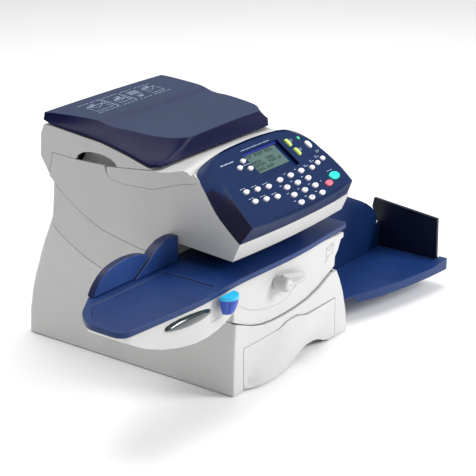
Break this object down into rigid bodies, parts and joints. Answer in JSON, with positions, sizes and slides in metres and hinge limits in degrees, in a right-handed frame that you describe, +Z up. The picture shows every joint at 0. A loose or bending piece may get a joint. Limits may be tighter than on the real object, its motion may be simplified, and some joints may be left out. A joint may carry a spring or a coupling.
{
  "type": "franking machine",
  "caption": "Desktop franking machine with a weighing platform, sloped key panel, mail deck with fence, supply drawer and side stacker.",
  "frame": {"origin": "middle of the overall footprint box, on the ground", "axes": "+Z up, +Y to the back, +X to the operator's right, the way the mail travels"},
  "size_m": [0.6796, 0.3725, 0.3084],
  "materials": {
    "casing": "fine satin texture",
    "casing_low": "fine satin texture",
    "dark_steel": "black painted sheet",
    "rubber": "matt",
    "load_cell": "machined",
    "platform_navy": "fine grain",
    "panel_blue": "fine grain",
    "board": "solder resist",
    "dark_plastic": "moulded",
    "display": "clear window",
    "light_green": "translucent",
    "deck_blue": "semi-gloss",
    "window_teal": "clear dark",
    "guide_blue": "satin",
    "knob_cyan": "satin",
    "stacker_navy": "semi-gloss",
    "key_white": "silicone",
    "key_teal": "silicone",
    "key_coral": "silicone",
    "key_lime": "silicone"
  },
  "bodies": {
    "body": {"base_shell": "casing_low", "bottom_plate": "dark_steel", "foot_front_left": "rubber", "foot_front_right": "rubber", "foot_back_left": "rubber", "foot_back_right": "rubber", "mid_housing": "casing", "front_cover": "casing_low", "upper_housing": "casing", "panel_bezel": "panel_blue", "panel_board": "board", "display_module": "dark_plastic", "display_window": "display", "status_light": "light_green", "feed_deck": "deck_blue", "deck_fascia": "casing", "water_window": "window_teal", "deck_guide": "guide_blue", "print_cartridge": "dark_plastic", "stacker_tray": "deck_blue", "stacker_walls": "stacker_navy"},
    "drawer": {"supply_drawer": "casing_low"},
    "lid": {"lid_cover": "casing", "scale_housing": "casing", "load_cell": "load_cell"},
    "platform": {"scale_platform": "platform_navy"},
    "knob": {"sealer_knob": "knob_cyan"},
    "lever": {"jam_lever": "casing_low"},
    "platen": {"pressure_platen": "dark_plastic"},
    "feed_drum": {"feed_roller": "rubber"},
    "exit_drum": {"exit_roller": "rubber"},
    "key_function_upper_left_body": {"key_function_upper_left": "key_white"},
    "key_function_upper_middle_body": {"key_function_upper_middle": "key_white"},
    "key_function_upper_right_body": {"key_function_upper_right": "key_white"},
    "key_function_lower_left_body": {"key_function_lower_left": "key_white"},
    "key_function_lower_middle_body": {"key_function_lower_middle": "key_white"},
    "key_function_lower_right_body": {"key_function_lower_right": "key_white"},
    "key_select_1_body": {"key_select_1": "key_white"},
    "key_select_2_body": {"key_select_2": "key_white"},
    "key_select_3_body": {"key_select_3": "key_white"},
    "key_pad_1_1_body": {"key_pad_1_1": "key_white"},
    "key_pad_1_2_body": {"key_pad_1_2": "key_white"},
    "key_pad_1_3_body": {"key_pad_1_3": "key_white"},
    "key_pad_2_1_body": {"key_pad_2_1": "key_white"},
    "key_pad_2_2_body": {"key_pad_2_2": "key_white"},
    "key_pad_2_3_body": {"key_pad_2_3": "key_white"},
    "key_pad_3_1_body": {"key_pad_3_1": "key_white"},
    "key_pad_3_2_body": {"key_pad_3_2": "key_white"},
    "key_pad_3_3_body": {"key_pad_3_3": "key_white"},
    "key_pad_4_1_body": {"key_pad_4_1": "key_white"},
    "key_pad_4_2_body": {"key_pad_4_2": "key_white"},
    "key_pad_4_3_body": {"key_pad_4_3": "key_white"},
    "key_edit_1_body": {"key_edit_1": "key_white"},
    "key_edit_2_body": {"key_edit_2": "key_white"},
    "key_edit_3_body": {"key_edit_3": "key_white"},
    "key_quick_1_body": {"key_quick_1": "key_lime"},
    "key_quick_2_body": {"key_quick_2": "key_lime"},
    "key_menu_body": {"key_menu": "key_white"},
    "key_start_body": {"key_start": "key_teal"},
    "key_stop_body": {"key_stop": "key_coral"}
  },
  "joints": [
    {"name": "drawer_slide", "type": "slide", "parent": "body", "child": "drawer", "axis": [0, -1, 0], "range_m": [0, 0.12]},
    {"name": "lid_hinge", "type": "hinge", "parent": "body", "child": "lid", "pos_m": [-0.01216, 0.14025, 0.229], "axis": [-1, 0, 0], "range_deg": [0, 60]},
    {"name": "platform_press", "type": "slide", "parent": "lid", "child": "platform", "axis": [0, 0, -1], "range_m": [0, 0.0005], "stiffness_N_per_m": 12000, "springref_m": -0.0008},
    {"name": "sealer_slide", "type": "slide", "parent": "body", "child": "knob", "axis": [1, 0, 0], "range_m": [-0.008, 0.008]},
    {"name": "lever_turn", "type": "hinge", "parent": "body", "child": "lever", "pos_m": [-0.04116, -0.15425, 0.12], "axis": [0, 1, 0], "range_deg": [0, 80]},
    {"name": "platen_drop", "type": "slide", "parent": "body", "child": "platen", "axis": [0, 0, -1], "range_m": [0, 0.006]},
    {"name": "feed_spin", "type": "hinge", "parent": "body", "child": "feed_drum", "pos_m": [-0.07816, -0.10375, 0.177], "axis": [0, 1, 0], "continuous": true},
    {"name": "exit_spin", "type": "hinge", "parent": "body", "child": "exit_drum", "pos_m": [0.05184, -0.10375, 0.177], "axis": [0, 1, 0], "continuous": true},
    {"name": "key_function_upper_left_press", "type": "slide", "parent": "body", "child": "key_function_upper_left_body", "axis": [0, 0.5693, -0.8221], "range_m": [0, 0.0012], "stiffness_N_per_m": 300, "springref_m": -0.0006},
    {"name": "key_function_upper_middle_press", "type": "slide", "parent": "body", "child": "key_function_upper_middle_body", "axis": [0, 0.5693, -0.8221], "range_m": [0, 0.0012], "stiffness_N_per_m": 300, "springref_m": -0.0006},
    {"name": "key_function_upper_right_press", "type": "slide", "parent": "body", "child": "key_function_upper_right_body", "axis": [0, 0.5693, -0.8221], "range_m": [0, 0.0012], "stiffness_N_per_m": 300, "springref_m": -0.0006},
    {"name": "key_function_lower_left_press", "type": "slide", "parent": "body", "child": "key_function_lower_left_body", "axis": [0, 0.5693, -0.8221], "range_m": [0, 0.0012], "stiffness_N_per_m": 300, "springref_m": -0.0006},
    {"name": "key_function_lower_middle_press", "type": "slide", "parent": "body", "child": "key_function_lower_middle_body", "axis": [0, 0.5693, -0.8221], "range_m": [0, 0.0012], "stiffness_N_per_m": 300, "springref_m": -0.0006},
    {"name": "key_function_lower_right_press", "type": "slide", "parent": "body", "child": "key_function_lower_right_body", "axis": [0, 0.5693, -0.8221], "range_m": [0, 0.0012], "stiffness_N_per_m": 300, "springref_m": -0.0006},
    {"name": "key_select_1_press", "type": "slide", "parent": "body", "child": "key_select_1_body", "axis": [0, 0.5693, -0.8221], "range_m": [0, 0.0012], "stiffness_N_per_m": 300, "springref_m": -0.0006},
    {"name": "key_select_2_press", "type": "slide", "parent": "body", "child": "key_select_2_body", "axis": [0, 0.5693, -0.8221], "range_m": [0, 0.0012], "stiffness_N_per_m": 300, "springref_m": -0.0006},
    {"name": "key_select_3_press", "type": "slide", "parent": "body", "child": "key_select_3_body", "axis": [0, 0.5693, -0.8221], "range_m": [0, 0.0012], "stiffness_N_per_m": 300, "springref_m": -0.0006},
    {"name": "key_pad_1_1_press", "type": "slide", "parent": "body", "child": "key_pad_1_1_body", "axis": [0, 0.5693, -0.8221], "range_m": [0, 0.0012], "stiffness_N_per_m": 300, "springref_m": -0.0006},
    {"name": "key_pad_1_2_press", "type": "slide", "parent": "body", "child": "key_pad_1_2_body", "axis": [0, 0.5693, -0.8221], "range_m": [0, 0.0012], "stiffness_N_per_m": 300, "springref_m": -0.0006},
    {"name": "key_pad_1_3_press", "type": "slide", "parent": "body", "child": "key_pad_1_3_body", "axis": [0, 0.5693, -0.8221], "range_m": [0, 0.0012], "stiffness_N_per_m": 300, "springref_m": -0.0006},
    {"name": "key_pad_2_1_press", "type": "slide", "parent": "body", "child": "key_pad_2_1_body", "axis": [0, 0.5693, -0.8221], "range_m": [0, 0.0012], "stiffness_N_per_m": 300, "springref_m": -0.0006},
    {"name": "key_pad_2_2_press", "type": "slide", "parent": "body", "child": "key_pad_2_2_body", "axis": [0, 0.5693, -0.8221], "range_m": [0, 0.0012], "stiffness_N_per_m": 300, "springref_m": -0.0006},
    {"name": "key_pad_2_3_press", "type": "slide", "parent": "body", "child": "key_pad_2_3_body", "axis": [0, 0.5693, -0.8221], "range_m": [0, 0.0012], "stiffness_N_per_m": 300, "springref_m": -0.0006},
    {"name": "key_pad_3_1_press", "type": "slide", "parent": "body", "child": "key_pad_3_1_body", "axis": [0, 0.5693, -0.8221], "range_m": [0, 0.0012], "stiffness_N_per_m": 300, "springref_m": -0.0006},
    {"name": "key_pad_3_2_press", "type": "slide", "parent": "body", "child": "key_pad_3_2_body", "axis": [0, 0.5693, -0.8221], "range_m": [0, 0.0012], "stiffness_N_per_m": 300, "springref_m": -0.0006},
    {"name": "key_pad_3_3_press", "type": "slide", "parent": "body", "child": "key_pad_3_3_body", "axis": [0, 0.5693, -0.8221], "range_m": [0, 0.0012], "stiffness_N_per_m": 300, "springref_m": -0.0006},
    {"name": "key_pad_4_1_press", "type": "slide", "parent": "body", "child": "key_pad_4_1_body", "axis": [0, 0.5693, -0.8221], "range_m": [0, 0.0012], "stiffness_N_per_m": 300, "springref_m": -0.0006},
    {"name": "key_pad_4_2_press", "type": "slide", "parent": "body", "child": "key_pad_4_2_body", "axis": [0, 0.5693, -0.8221], "range_m": [0, 0.0012], "stiffness_N_per_m": 300, "springref_m": -0.0006},
    {"name": "key_pad_4_3_press", "type": "slide", "parent": "body", "child": "key_pad_4_3_body", "axis": [0, 0.5693, -0.8221], "range_m": [0, 0.0012], "stiffness_N_per_m": 300, "springref_m": -0.0006},
    {"name": "key_edit_1_press", "type": "slide", "parent": "body", "child": "key_edit_1_body", "axis": [0, 0.5693, -0.8221], "range_m": [0, 0.0012], "stiffness_N_per_m": 300, "springref_m": -0.0006},
    {"name": "key_edit_2_press", "type": "slide", "parent": "body", "child": "key_edit_2_body", "axis": [0, 0.5693, -0.8221], "range_m": [0, 0.0012], "stiffness_N_per_m": 300, "springref_m": -0.0006},
    {"name": "key_edit_3_press", "type": "slide", "parent": "body", "child": "key_edit_3_body", "axis": [0, 0.5693, -0.8221], "range_m": [0, 0.0012], "stiffness_N_per_m": 300, "springref_m": -0.0006},
    {"name": "key_quick_1_press", "type": "slide", "parent": "body", "child": "key_quick_1_body", "axis": [0, 0.5693, -0.8221], "range_m": [0, 0.0012], "stiffness_N_per_m": 300, "springref_m": -0.0006},
    {"name": "key_quick_2_press", "type": "slide", "parent": "body", "child": "key_quick_2_body", "axis": [0, 0.5693, -0.8221], "range_m": [0, 0.0012], "stiffness_N_per_m": 300, "springref_m": -0.0006},
    {"name": "key_menu_press", "type": "slide", "parent": "body", "child": "key_menu_body", "axis": [0, 0.5693, -0.8221], "range_m": [0, 0.0012], "stiffness_N_per_m": 300, "springref_m": -0.0006},
    {"name": "key_start_press", "type": "slide", "parent": "body", "child": "key_start_body", "axis": [0, 0.5693, -0.8221], "range_m": [0, 0.0012], "stiffness_N_per_m": 300, "springref_m": -0.0006},
    {"name": "key_stop_press", "type": "slide", "parent": "body", "child": "key_stop_body", "axis": [0, 0.5693, -0.8221], "range_m": [0, 0.0012], "stiffness_N_per_m": 300, "springref_m": -0.0006}
  ],
  "couplings": [
    {"joint": "platen_drop", "follows": "lever_turn", "m_per_rad": 0.004296},
    {"joint": "exit_spin", "follows": "feed_spin", "ratio": 1}
  ]
}
